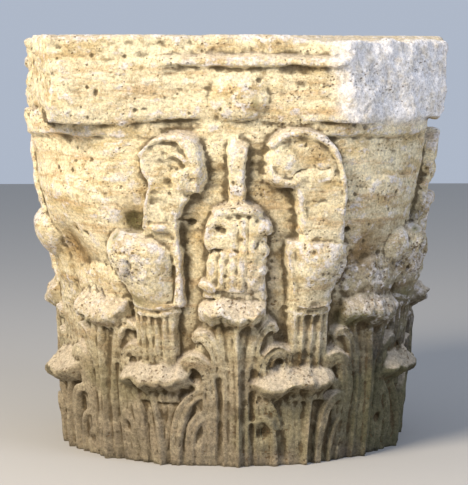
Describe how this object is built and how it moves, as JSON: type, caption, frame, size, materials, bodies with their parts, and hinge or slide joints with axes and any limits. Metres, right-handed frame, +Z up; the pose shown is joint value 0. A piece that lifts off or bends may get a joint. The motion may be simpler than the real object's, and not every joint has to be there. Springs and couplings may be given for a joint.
{
  "type": "corinthian capital",
  "caption": "Weathered Corinthian capital carved from one block of porous limestone, with worn leaves and scrolls and its abacus corners broken away.",
  "frame": {"origin": "centre of the lower bed, the flat underside that the block stands on", "axes": "+Z up along the column's axis, -Y out of the front face, +X to the right of someone who looks at that face"},
  "size_m": [0.6317, 0.6401, 0.6],
  "materials": {
    "stone": "matt, pitted and weathered"
  },
  "bodies": {
    "root": {"capital": "stone"}
  },
  "joints": []
}
